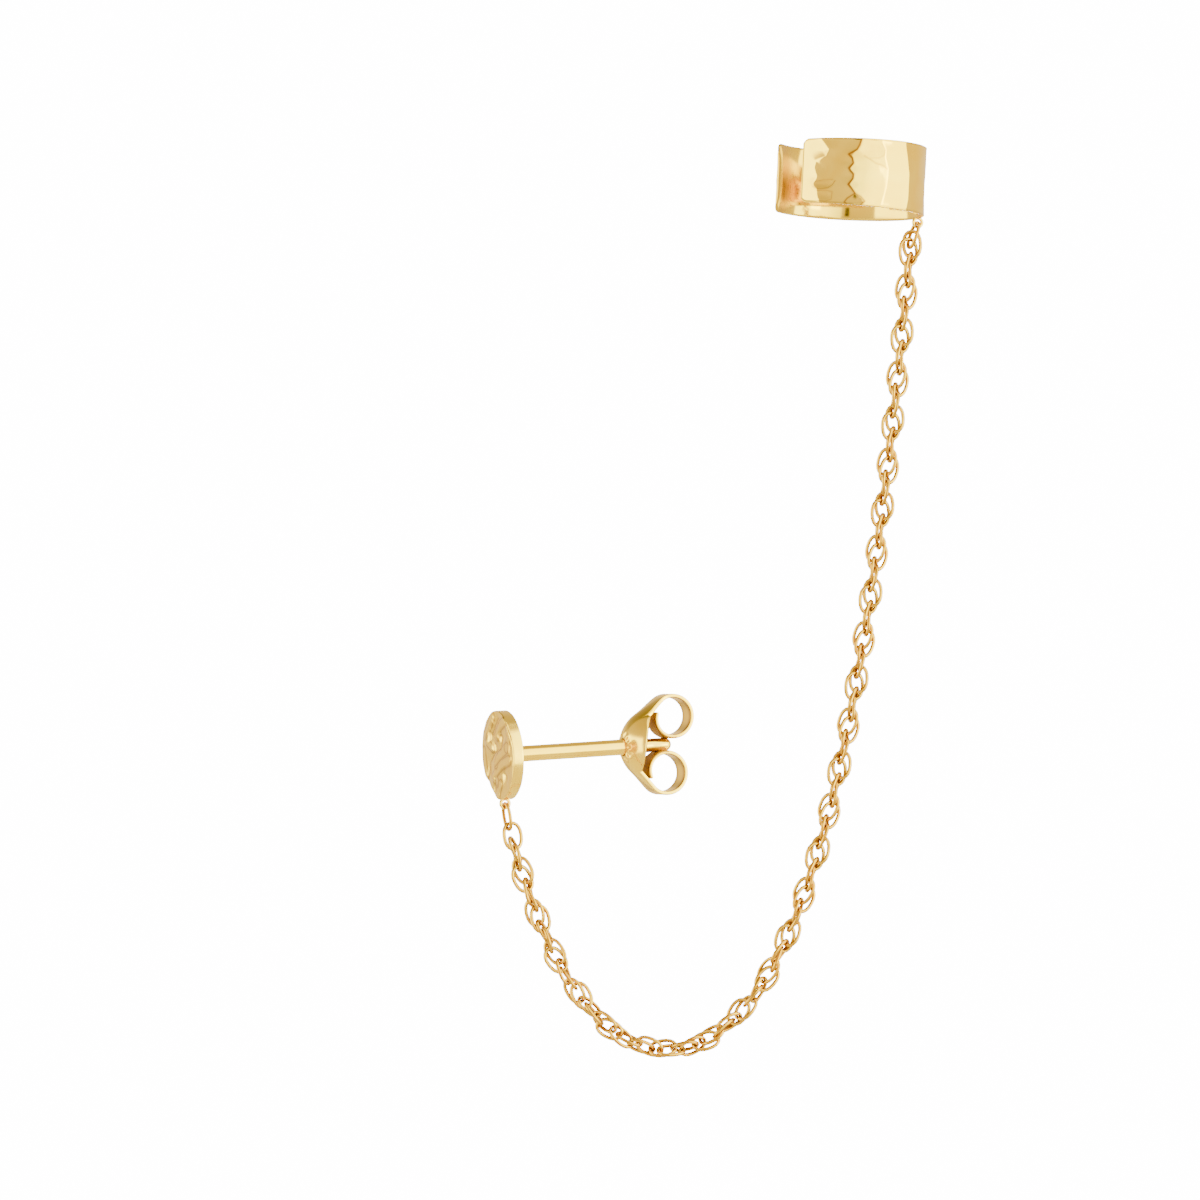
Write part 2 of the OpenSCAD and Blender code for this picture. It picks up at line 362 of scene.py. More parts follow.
def disc_net():
    """The hammered disc: a folded face, a rounded edge with soft dents and a nick, and a plain back."""
    a = np.linspace(0, 2 * np.pi, 256, endpoint=False)
    face = np.sin(np.linspace(0, 1, 100) * np.pi / 2)
    bend = np.linspace(0, np.pi / 2, 7)[1:]
    profile = [(DISC_FRONT, k * (DISC_R - FRONT_EDGE)) for k in face]
    profile += [(DISC_FRONT + FRONT_EDGE * (1 - math.cos(b)), DISC_R - FRONT_EDGE * (1 - math.sin(b)))
                for b in bend]
    profile += [(s, DISC_R) for s in np.linspace(DISC_FRONT + FRONT_EDGE, DISC_BACK - BACK_EDGE, 9)[1:]]
    profile += [(DISC_BACK - BACK_EDGE * (1 - math.sin(b)), DISC_R - BACK_EDGE * (1 - math.cos(b)))
                for b in bend]
    profile += [(DISC_BACK, k * (DISC_R - BACK_EDGE)) for k in np.linspace(1, 0, 12)[1:]]
    s, r = np.array(profile).T
    nick = np.exp(-((np.degrees(a) - NICK_TURN) / NICK_HALF) ** 2)
    dents = 0.5 + 0.5 * np.sin(3 * a + 1.1) * np.sin(5 * a + 0.4)
    outline = 1 - (RIM_DENTS * dents + NICK_DEPTH * nick) / DISC_R
    v = r[:, None] * np.cos(a) * outline
    t = r[:, None] * np.sin(a) * outline
    front = np.clip((DISC_BACK - s) / (DISC_BACK - DISC_FRONT), 0, 1)[:, None]
    depth, crease = folded_face(v, t)
    points, faces = skin(np.stack([s[:, None] + np.clip(depth, 0, FACE_LOW) * front**3, v, t], axis=2))
    # The creases at the folds' feet get painted shade, which fades away from the face
    return points, faces, {"recess": (CREASE_SHADE * crease * front**6).ravel()}


def post_net():
    """The straight post, soldered in a small fillet, with a slimmer rounded end: a turned shape."""
    foot = POST_R + POST_FILLET
    profile = [(DISC_BACK - POST_SUNK, 0), (DISC_BACK - POST_SUNK, foot), (DISC_BACK, foot)]
    profile += [(DISC_BACK + POST_FILLET * (1 - math.cos(b)), foot - POST_FILLET * math.sin(b))
                for b in np.linspace(0, np.pi / 2, 6)[1:]]
    profile += [(s, POST_R) for s in np.linspace(DISC_BACK + 0.3, POST_NECK, 18)]
    profile += [(POST_NECK + past, r) for past, r in POST_SHOULDER]
    profile += [(s, POST_END_R) for s in (POST_NECK + 0.9, POST_TIP)]
    profile += [(POST_TIP + POST_END_R * math.sin(b), POST_END_R * math.cos(b))
                for b in np.linspace(0, np.pi / 2, 9)[1:]]
    around = np.linspace(0, 2 * np.pi, 48, endpoint=False)
    return skin(np.array([[(s, r * math.cos(a), r * math.sin(a)) for a in around] for s, r in profile]))


piece("stud_disc", [disc_net()], STUD_TURN, NO_MOVE, satin, "stud")
piece("stud_post", [post_net()], STUD_TURN, NO_MOVE, polished, "stud")
piece("stud_eyelet", [eyelet_net(STUD_EYE)], STUD_TURN, NO_MOVE, polished, "stud")


# Butterfly back

# The dish: the middle of its dome along the post, its outer radius, and the radius of the hole for the post
DISH_AT, DISH_R = 6.2, 2.4
POST_HOLE = 0.56

# The dish's outline, a lens of two arcs: their radius, and how far beside the post and above it their
# middles lie
LENS_R, LENS_OFF, LENS_UP = 2.318, 0.418, 0.25

# The strip: its thickness and width, how far its edges and the dish's are rounded, and how much less than the
# sheet's thickness it takes on each side, so that its face never lies in the dish's
SHEET, STRIP = 0.25, 1.5
STRIP_BEND, DISH_BEND = 0.07, 0.06
STRIP_THIN = 0.004

# The scrolls: their place along the post and off it, how far from there the upper one lies back and the lower
# one forward, the radii of a scroll and of the curl inside it, at the middle of the sheet, and the turn at
# which the curl ends
SCROLL_AT, SCROLL_OFF, SCROLL_LEAN = 6.8, 1.76, 0.3
SCROLL_MID, CURL_MID, CURL_STOP = 1.285, 1.12, 156

# The root of an arm, in the dish: the turn over which it runs there, and about how far it is sunk in the
# sheet where it starts and stands proud of it where it ends. The upper one grows wider there, by the flare
# on each side
ROOT_TURN, ROOT_SUNK, ROOT_PROUD = 24, 0.02, 0.006
UPPER_FLARE = 0.30

# Painted shade of the sheet where dish and scrolls shade each other, and round the hole, then that of the
# strip's inner face: along its middle, and how much deeper at its sides
SHADED, HOLE_SHADE = 0.80, 0.3
CURL_SHADE, CURL_SIDE_SHADE = 0.10, 0.65

# Small stamped bumps in a ring round the hole: how many, their height, place and half width
BUMPS, BUMP_HIGH, BUMP_AT, BUMP_HALF = 11, 0.035, 0.84, 0.15


def shaded_marks(shades):
    """Marks of the sheet: its painted shade, and where that is deepest, between dish and scrolls, it is also
    less glossy.
    """
    return {"recess": shades, "dull": 0.35 * ease_in(shades, SHADED - 0.04, SHADED)}


def arm_turn(sign):
    """The angle round the dish's middle at which an arm leaves it, as a tangent of dish and scroll."""
    way = np.array([SCROLL_AT + sign * SCROLL_LEAN - DISH_AT, SCROLL_OFF])
    return math.atan2(way[1], way[0]) + math.acos((DISH_R - SHEET / 2 - SCROLL_MID) / np.linalg.norm(way))


def dish_edge(a):
    """How far the dish reaches from the post's axis: a lens, cut short under the arms."""
    middle = np.where(np.cos(a) > 0, -LENS_OFF, LENS_OFF) * np.cos(a) + LENS_UP * np.sin(a)
    lens = middle + np.sqrt(middle**2 - LENS_OFF**2 - LENS_UP**2 + LENS_R**2)
    under_arm = np.where(np.sin(a) > 0, math.sin(arm_turn(1)), math.sin(arm_turn(-1))) * (DISH_R - 0.02)
    return np.minimum(lens, under_arm / np.maximum(np.abs(np.sin(a)), 1e-6))


def dish_net():
    """The domed dish: a lens-shaped shell with rounded edges, a hole for the post, and bumps round the hole.
    Its rings run from the hole to the rim outside and back inside, in stretches with a painted shade each."""
    a = np.linspace(0, 2 * np.pi, 192, endpoint=False)
    edge = dish_edge(a)
    edge = np.convolve(np.concatenate([edge[-2:], edge, edge[:2]]), np.ones(5) / 5, mode="valid")

    def ring(reach, depth):
        """Points at a share of the way from the hole to the rim, at a depth in the sheet."""
        rho = POST_HOLE + (edge - POST_HOLE) * reach
        lift = np.arcsin(np.clip(rho / DISH_R, 0, 0.999))
        bumps = BUMP_HIGH * np.cos(BUMPS * a) * np.exp(-(((rho - BUMP_AT) / BUMP_HALF) ** 2))
        r = DISH_R - depth + bumps
        off = r * np.sin(lift)
        return np.column_stack([DISH_AT - r * np.cos(lift), off * np.cos(a), off * np.sin(a)])

    # The rounding's share of the way from the hole to the rim, which is about 1.6 long
    near = DISH_BEND / 1.6
    far = 1 - near
    rounded = [(near * math.sin(c), DISH_BEND * (1 - math.cos(c))) for c in np.linspace(0, np.pi / 2, 5)]
    # Each stretch has its painted shade: none outside, deep on the inside, lighter round the hole
    stretches = [
        (0.0, [(k, 0) for k in np.linspace(near, far, 30)]),
        (0.0, [(far + on, depth) for on, depth in rounded[1:]]),
        (SHADED, [(far + on, SHEET - depth) for on, depth in rounded[::-1]]),
        (SHADED, [(k, SHEET) for k in np.linspace(far, near, 16)[1:]]),
        (HOLE_SHADE, [(near - on, SHEET - depth) for on, depth in rounded[1:]]),
        (HOLE_SHADE, [(near - on, depth) for on, depth in rounded[:0:-1]]),
    ]
    rows = [ring(reach, depth) for _, stretch in stretches for reach, depth in stretch]
    shades = [tone for tone, stretch in stretches for _ in stretch]
    points, faces = skin(np.array(rows), wrap_rows=True)
    return points, faces, shaded_marks(np.repeat(shades, len(a)))


def strip_section():
    """The strip's section, round from one edge. Each point has a share of the half width and two offsets."""
    side = SHEET / 2 - STRIP_THIN
    section = []
    for across, up, quarter in ((1, 1, 0), (-1, 1, 1), (-1, -1, 2), (1, -1, 3)):
        for c in np.linspace(0, np.pi / 2, 5):
            angle = c + quarter * np.pi / 2
            height = up * (side - STRIP_BEND) + STRIP_BEND * math.sin(angle)
            section.append((across, STRIP_BEND * math.cos(angle), height))
        if across == up:
            section += [(share * across, 0.0, up * side) for share in np.linspace(1, -1, 14)[1:-1]]
    return np.array(section)


def strip_net(path, halves, domes, tail):
    """A strip of sheet metal along a path, with rounded edges. halves are its half widths, domes say how much
    of the dish's dome it takes, and past the point tail its outer face has painted shade, like its inner
    face."""
    along = np.gradient(path, axis=0)
    along /= np.linalg.norm(along, axis=1)[:, None]
    out = np.column_stack([-along[:, 1], along[:, 0]])
    share, wide, deep = strip_section().T
    # Painted shade of the inner face, deeper at its sides, and of the outer face past the tail
    inner_face = ease_in(-deep, SHEET / 2 - STRIP_BEND, SHEET / 2 - STRIP_THIN)
    inner_shade = (CURL_SHADE + CURL_SIDE_SHADE * ease_in(np.abs(share), 0.3, 1)) * inner_face
    outer_shade = SHADED * (deep > 0.05)
    rows, shades = [], []
    last = len(path) - 1
    thinned = {0: 0.5, 1: 0.9, last - 1: 0.9, last: 0.5}
    for i in range(len(path)):
        x = share * (halves[i] - STRIP_BEND) + wide
        y = deep * thinned.get(i, 1.0)
        r = DISH_R - SHEET / 2 + y
        off = y - domes[i] * (r - np.sqrt(r**2 - x**2))
        rows.append(np.column_stack([path[i, 0] + off * out[i, 0], x, path[i, 1] + off * out[i, 1]]))
        shades.append(inner_shade + outer_shade * (i > tail))
    count = len(share)
    caps = [(j, j + 1, count - 2 - j, count - 1 - j) for j in range(count // 2 - 1)]
    points, faces = skin(np.array(rows), caps=caps)
    return points, faces, np.concatenate(shades)


def arc(centre, radius, start, stop, count):
    """Points of an arc in the plane along the post in which the strip is rolled."""
    a = np.linspace(start, stop, count)
    return centre + radius * np.column_stack([np.cos(a), np.sin(a)])


def arm_and_scroll(sign):
    """The strip leaves the dish, runs straight to its scroll, rolls round and tucks its end inside. The upper
    one, whose sign is 1, is wider at the dish."""
    leave = arm_turn(sign)
    dish_middle = np.array([DISH_AT, 0.0])
    middle = np.array([SCROLL_AT + sign * SCROLL_LEAN, SCROLL_OFF])
    curl_middle = middle + np.array([0, CURL_MID - SCROLL_MID])
    root = arc(dish_middle, DISH_R - SHEET / 2, leave + math.radians(ROOT_TURN), leave, 12)
    root -= np.linspace(ROOT_SUNK, -ROOT_PROUD, 12)[:, None] * (root - dish_middle) / DISH_R
    roll = arc(middle, SCROLL_MID, leave, -math.pi / 2, 64)
    gap = roll[0] - root[-1]
    arm = root[-1] + gap * np.linspace(0, 1, max(4, int(np.linalg.norm(gap) / 0.08)))[1:-1, None]
    curl = arc(curl_middle, CURL_MID, 1.5 * math.pi, math.radians(CURL_STOP), 34)[1:]
    path = np.concatenate([root, arm, roll, curl])
    steps = np.arange(len(path))
    flat = ease_in(steps, len(root), len(root) + len(arm) + 6)
    flare = (UPPER_FLARE if sign > 0 else 0.0) * np.clip(steps / len(root), 0, 1)
    halves = STRIP / 2 + flare * (1 - flat)
    points, faces, shades = strip_net(path, halves, 1 - flat, len(path) - len(curl) - 4)
    return points * np.array([1, 1, sign]), faces, shaded_marks(shades)


butterfly_nets = [dish_net(), arm_and_scroll(1), arm_and_scroll(-1)]
piece("butterfly_back_gold", butterfly_nets, STUD_TURN, NO_MOVE, stamped, "butterfly_back")


# Ear cuff

# The band: its outer and inner radius, half its width, and the turns at which its two free ends are
CUFF_R, CUFF_IN, CUFF_HALF = 4.8, 4.3, 2.15
CUFF_START, CUFF_END = -131.0, 167.0

# How much narrower the band is at its front end, as a share of its width, and how far from there that reaches
CUFF_NARROW, NARROW_REACH = 0.07, 7.5

# Its cut corners, how far in from an edge the rounding reaches, and how much the rounding takes off
CUFF_CORNER, CUFF_EDGE, CUFF_ROUND = 0.5, 0.12, 0.10

# How far the inner face falls back towards its edges: over its whole width, and once more near them
CUFF_CROWN, CROWN_EDGE = 0.12, 0.10

# The deepest that a mark goes, the share of it that is left at an edge, and the depth at which the front's
# ridges are cut flat
MARK_LOW, MARK_EDGE, RIDGE_FLAT = 0.22, 0.35, 0.03

# The turn up to which the marks are those of the front, and over what length they give way to the others
FRONT_STOP, FRONT_FADE = -28, 0.8

# Painted shade of the edges, of the inside and of the far end's inside, and the turns between which that
# one sets in
EDGE_SHADE, INNER_SHADE, FAR_SHADE = 0.45, 0.05, 0.50
FAR_START, FAR_FULL = 138, 156

# How much less glossy the inside is than the outside, and its far end than the rest of it
INNER_DULL, FAR_DULL = 0.03, 0.24

# The middle of the cuff's eyelet, and its turn round the ring's axis
CUFF_EYE, CUFF_EYE_TURN = (4.66, 0, -2.38), 20

# Ridges between the marks of the cuff's front: heights on the band and turns, in degrees, then the slope
# beside the ridge and how far it reaches
CUFF_RIDGES = [
    ([(-2.3, -113), (-1.95, -114), (-1.2, -117), (-0.9, -121), (-0.4, -117), (0.1, -120), (0.6, -118.5),
      (0.85, -110), (1.35, -107), (1.9, -114), (2.3, -117)], 0.15, 0.75),
    ([(-2.3, -81), (-2.1, -80), (-1.84, -78.9), (-1.58, -81.9), (-1.37, -86.5), (-1.1, -89.1), (-0.84, -92.1),
      (-0.46, -88.6), (-0.18, -88.4), (0.01, -90.9), (0.18, -92.1), (0.5, -88.8), (0.8, -89.7), (1.04, -92.7),
      (1.36, -86.4), (1.64, -84.5), (2.0, -83), (2.3, -81)], 0.15, 0.75),
    ([(-2.3, -67), (-1.83, -65.2), (-0.86, -61.7), (-0.17, -60.8), (0.31, -60.6), (0.97, -63.8),
      (1.51, -63.7), (1.8, -66.1), (2.3, -68)], 0.12, 0.5),
    ([(-2.3, -42), (-1.4, -39), (0.2, -39), (1.9, -45), (2.3, -46)], 0.09, 0.6),
]

# Single dents of the front: turn and height of the middle, half sizes, and depth
CUFF_DENTS = [
    (-111, -0.85, 0.72, 0.30, 0.045), (-110.5, -1.55, 0.55, 0.34, 0.040), (-74, 1.35, 0.85, 0.48, 0.035),
    (-100, 0.9, 0.9, 0.6, 0.012), (-72, -0.6, 0.7, 0.9, 0.015), (-52, -1.2, 0.9, 0.9, 0.015),
    (-50, 1.0, 0.8, 0.8, 0.012),
]

# Painted shade in the creases where the marks of the front meet: turns and heights, then half a width and
# how deep the shade is
CUFF_CREASE_SHADES = [
    ([(-83.1, 2.1), (-84.5, 1.64), (-86.4, 1.36), (-92.7, 1.04), (-89.7, 0.8), (-88.8, 0.5), (-92.1, 0.18),
      (-90.9, 0.01), (-88.4, -0.18), (-88.6, -0.46), (-92.1, -0.84), (-89.1, -1.1), (-86.5, -1.37)],
     0.075, 1.0),
    ([(-86.5, -1.37), (-92.4, -1.7), (-94.5, -1.94), (-91.7, -2.12)], 0.06, 0.8),
    ([(-82.4, -2.1), (-78.9, -1.84), (-81.9, -1.58), (-86.5, -1.37)], 0.06, 0.8),
    ([(-76.7, 0.88), (-69.1, 0.92), (-64.8, 1.13), (-63.9, 1.51), (-67.0, 1.8)], 0.045, 0.35),
    ([(-80.9, 1.01), (-75.8, 0.79), (-71.5, 0.59), (-65.3, 0.48), (-61.7, 0.3)], 0.045, 0.55),
    ([(-120.8, -0.94), (-118.4, -0.7), (-111.3, -0.58), (-104.1, -0.56)], 0.045, 0.35),
    ([(-120.0, -1.01), (-117.2, -1.12), (-112.7, -1.15), (-107.6, -1.08), (-104.3, -0.88), (-102.4, -0.64)],
     0.05, 0.5),
    ([(-114.9, -1.89), (-109.6, -1.93), (-104.6, -1.79), (-104.3, -1.32), (-109.2, -1.25), (-116.9, -1.24)],
     0.045, 0.4),
]

# Painted reflections on the front, a little deeper in tone: turn and height of the middle, half sizes,
# and tone
CUFF_REFLECTION_TINTS = [
    (-87.3, -0.87, 0.28, 0.24, 0.14), (-85.5, 0.95, 0.55, 0.35, 0.09), (-88.3, 0.2, 0.22, 0.22, 0.10),
    (-86.5, -1.80, 0.60, 0.32, 0.13), (-112.0, -0.86, 0.80, 0.26, 0.12), (-110.0, -1.58, 0.55, 0.33, 0.08),
    (-119.0, 1.35, 0.55, 0.50, 0.05), (-74.0, 1.35, 0.80, 0.45, 0.05),
]


def hammer_marks(x, z):
    """Depth of the shallow marks all round the band, which meet in soft wavy ridges. Here and below, x is the
    way round the band's outside and z the height on it."""
    places = np.column_stack([x.ravel(), z.ravel()])
    wave = 0.22 * np.sin(2.1 * places[:, 1] + 0.4) + 0.10 * np.sin(5.3 * places[:, 1] + 1.0)
    bent = places + np.column_stack([wave, 0.12 * np.sin(1.7 * places[:, 0])])
    marks = scatter(5, low=(-11.5, -2.4), high=(14.5, 2.4), step=(1.9, 1.45), jitter=(0.9, 0.8))
    return np.clip(bowls(bent, marks, span=2.0, depth=0.15, soft=0.006).reshape(z.shape), 0, 0.2)


def ridge_depth(x, z):
    """Depth beside the ridges of the band's front: the metal falls away from each on both sides."""
    places = np.column_stack([x.ravel(), z.ravel()])
    depth = np.zeros(len(places))
    for line, slope, reach in CUFF_RIDGES:
        heights, degrees = np.array(line).T
        away = line_distance(places, np.column_stack([np.radians(degrees) * CUFF_R, heights]))
        near = np.minimum(np.sqrt(away**2 + 0.0025) - 0.05, reach)
        depth += slope * (near - near**2 / (2 * reach))
    return depth.reshape(z.shape)


def front_dents(x, z):
    """Depth of the single dents of the band's front."""
    depth = np.zeros(z.shape)
    for degrees, height, long, tall, deep in CUFF_DENTS:
        far = ((x - np.radians(degrees) * CUFF_R) / long) ** 2 + ((z - height) / tall) ** 2
        depth += deep * np.clip(1 - far, 0, 1) ** 1.5
    return depth


def front_shade(x, z):
    """How deep the painted shade of the band's front is: painted shade in its creases, and painted
    reflections in a few warmer places.
    """
    places = np.column_stack([x.ravel(), z.ravel()])
    tone = np.zeros(len(places))
    for line, half, deep in CUFF_CREASE_SHADES:
        line = np.array(line) * [math.radians(CUFF_R), 1]
        tone = np.maximum(tone, deep * np.exp(-((line_distance(places, line) / half) ** 2)))
    for degrees, height, long, tall, deep in CUFF_REFLECTION_TINTS:
        aside = (places[:, 0] - math.radians(degrees) * CUFF_R) / long
        far = np.hypot(aside, (places[:, 1] - height) / tall)
        tone = np.maximum(tone, deep * (1 - ease_in(far, 0.7, 1.1)))
    return tone.reshape(z.shape)


def cuff_net():
    """The hammered band: marks outside, a crowned inner face, rounded edges and corners. Its rows are closer
    together on the front. Its edges and its inside have painted shade, deepest on the inside of its far end,
    which is also less glossy."""
    fine, coarse = np.linspace(CUFF_START, -30, 260), np.linspace(-30, CUFF_END, 180)
    turns = np.radians(np.concatenate([fine, coarse[1:]]))
    length = (turns - turns[0]) * CUFF_R
    left = np.minimum(length, length[-1] - length)
    near = np.clip(left / CUFF_CORNER, 0, 1)
    half = CUFF_HALF - CUFF_CORNER * (1 - np.sqrt(1 - (1 - near) ** 2))
    half *= 1 - CUFF_NARROW * np.clip(1 - length / NARROW_REACH, 0, 1) ** 1.5
    count = 72
    u = np.linspace(-1, 1, count)
    u = np.sign(u) * (1 - (1 - np.abs(u)) ** 1.2)
    z = half[:, None] * u[None, :]
    x = turns[:, None] * CUFF_R + 0 * z
    front = np.clip((np.radians(FRONT_STOP) * CUFF_R - x) / FRONT_FADE, 0, 1)
    cut = (1 - front) * hammer_marks(x, z) + front * (ridge_depth(x, z) + front_dents(x, z) - RIDGE_FLAT)
    inwards = np.clip((half[:, None] - np.abs(z)) / CUFF_EDGE, 0, 1)
    inwards = np.minimum(inwards, np.clip(left / CUFF_EDGE, 0, 1)[:, None])
    round_off = CUFF_ROUND * (1 - np.sqrt(1 - (1 - inwards) ** 2))
    outer = CUFF_R - np.clip(cut, 0, MARK_LOW) * (MARK_EDGE + (1 - MARK_EDGE) * inwards) - round_off
    across = np.abs(z) / half[:, None]
    crown = CUFF_CROWN * across**2 + CROWN_EDGE * np.clip((across - 0.6) / 0.4, 0, 1) ** 2
    inner = CUFF_IN + 0.6 * round_off + crown
    cos, sin = np.cos(turns)[:, None], np.sin(turns)[:, None]
    out_points = np.stack([outer * cos, outer * sin, z], axis=2)
    in_points = np.stack([inner * cos, inner * sin, z], axis=2)[:, ::-1]
    caps = [(j, j + 1, 2 * count - 2 - j, 2 * count - 1 - j) for j in range(count - 1)]
    points, faces = skin(np.concatenate([out_points, in_points], axis=1), caps=caps)
    # Painted shade: on the rounded edges, in the front's creases, with its painted reflections, on the
    # inside, and deepest on the far end's inside
    edge_shade = EDGE_SHADE * (1 - inwards)
    out_shade = np.maximum(front * front_shade(x, z), edge_shade)
    far_end = ease_in(np.degrees(turns)[:, None] + 0 * z, FAR_START, FAR_FULL)
    in_shade = np.maximum(INNER_SHADE + (FAR_SHADE - INNER_SHADE) * far_end, edge_shade[:, ::-1])
    return points, faces, {
        "recess": np.concatenate([out_shade, in_shade], axis=1).ravel(),
        "dull": np.concatenate([0 * out_shade, INNER_DULL + FAR_DULL * far_end], axis=1).ravel(),
    }


piece("ear_cuff_band", [cuff_net()], CUFF_TURN, CUFF_AT, hammered, "ear_cuff")
piece("ear_cuff_eyelet", [eyelet_net(CUFF_EYE, CUFF_EYE_TURN)], CUFF_TURN, CUFF_AT, polished, "ear_cuff")


# Chain

# The run hangs as a catenary: its lowest point, and the radius of its bend there. The point lies a little
# higher than in the solids, because the wire is thicker here. A place on the run is a length from that point.
LOW = np.array([6.36, -1.4401, -18.631])
BEND = 4.89

# The first link's place, the step from pair to pair, how far the first link of a pair lies before the second,
# and the number of links in each half of the chain
RUN_START, STEP, LAG = -17.52, 1.368, 0.498
LOWER_LINKS, UPPER_LINKS = 53, 54

# The links of a pair: how far to either side they lie, and how they lean across each other
PAIR_SIDE = 0.095
PAIR_TWIST, PAIR_NOD, PAIR_YAW = 14.8, 5.0, -9.3

# The length over which the links turn an eighth of a turn more, on each side of the lowest point
DRIFT = 16.0

# A link's length and width between the middles of its wires, and the wire's thickness
LINK_LONG, LINK_WIDE, WIRE = 1.65, 1.08, 0.24

# The end links: how far their middles lie from the eyelets, how far the stud's one hooks into the run, and
# the turn of each about its length
HANG, HOOK = 0.83, 0.28
STUD_ROLL, CUFF_ROLL = 69.0, 70.0


def open_tree(name, wanted):
    """An empty tree of nodes for a mesh, with named inputs and their values."""
    tree = bpy.data.node_groups.new(name, "GeometryNodeTree")
    tree.interface.new_socket("Geometry", in_out="OUTPUT", socket_type="NodeSocketGeometry")
    kinds = {int: "NodeSocketInt", float: "NodeSocketFloat", tuple: "NodeSocketVector"}
    for label, value in wanted.items():
        tree.interface.new_socket(label, in_out="INPUT", socket_type=kinds[type(value)])
    entry = add(tree, "NodeGroupInput")
    return tree, {label: Num(tree, entry.outputs[label]) for label in wanted}


def split_vector(tree, vector):
    parts = add(tree, "ShaderNodeSeparateXYZ", None, {0: vector})
    return [Num(tree, part) for part in parts.outputs]


def join_vector(tree, x, y, z):
    return add(tree, "ShaderNodeCombineXYZ", None, {0: x, 1: y, 2: z}).outputs[0]


def vector_math(tree, operation, sockets):
    return add(tree, "ShaderNodeVectorMath", {"operation": operation}, sockets)


def oval_link(tree, given):
    """One link: round wire bent to an oval with slightly flattened sides. Its painted shade is deepest on the
    wire's inner side, and there is a little on its outer one."""
    circle = add(tree, "GeometryNodeCurvePrimitiveCircle", {"mode": "RADIUS"},
                 {"Resolution": 20, "Radius": 1.0})
    x, y, _ = split_vector(tree, add(tree, "GeometryNodeInputPosition").outputs[0])

    def flattened(value, reach):
        return value.math("SIGN", value) * abs(value) ** 0.87 * reach / 2

    bent = join_vector(tree, flattened(x, given["Link length"]), flattened(y, given["Link width"]), 0.0)
    oval = add(tree, "GeometryNodeSetPosition", None, {"Geometry": circle.outputs[0], "Position": bent})
    section = add(tree, "GeometryNodeCurvePrimitiveCircle", {"mode": "RADIUS"},
                  {"Resolution": 8, "Radius": given["Wire"] / 2})
    wire = add(tree, "GeometryNodeCurveToMesh", None,
               {"Curve": oval.outputs[0], "Profile Curve": section.outputs[0]})
    place = add(tree, "GeometryNodeInputPosition").outputs[0]
    outward = vector_math(tree, "NORMALIZE", {0: place}).outputs[0]
    normal = add(tree, "GeometryNodeInputNormal").outputs[0]
    inward = Num(tree, vector_math(tree, "DOT_PRODUCT", {0: outward, 1: normal}).outputs["Value"]) * -1
    # Painted shade: deepest where the wire faces the link's middle, and a little where it faces outwards
    tone = (inward * 1.5).most(inward * -0.6).within(0, 1)
    marked = add(tree, "GeometryNodeStoreNamedAttribute", {"data_type": "FLOAT", "domain": "POINT"},
                 {"Geometry": wire.outputs[0], "Name": "recess", "Value": tone})
    return marked.outputs[0]


def turn_more(tree, first, axis, angle, space):
    """A rotation with one more turn about an axis: its own one in LOCAL space, or the tree's in GLOBAL."""
    more = add(tree, "FunctionNodeAxisAngleToRotation", None, {"Axis": axis, "Angle": angle})
    node = add(tree, "FunctionNodeRotateRotation", {"rotation_space": space}, {0: first, 1: more.outputs[0]})
    return node.outputs[0]


def hung(tree, roll, slope):
    """The rotation of a link that lies along a slope of the hanging plane, rolled about its own length."""
    lean = join_vector(tree, roll, 0.0, slope)
    flat = add(tree, "FunctionNodeEulerToRotation", None, {0: lean}).outputs[0]
    return turn_more(tree, flat, (1, 0, 0), math.pi / 2, "GLOBAL")


def close_tree(tree, points, link, rotation, material):
    """A link on each point, made one mesh with its finish."""
    many = add(tree, "GeometryNodeInstanceOnPoints", None,
               {"Points": points, "Instance": link, "Rotation": rotation})
    real = add(tree, "GeometryNodeRealizeInstances", None, {0: many.outputs[0]})
    smooth = add(tree, "GeometryNodeSetShadeSmooth", None, {"Geometry": real.outputs[0]})
    done = add(tree, "GeometryNodeSetMaterial", None, {"Geometry": smooth.outputs[0], "Material": material})
    add(tree, "NodeGroupOutput", None, {0: done.outputs[0]})


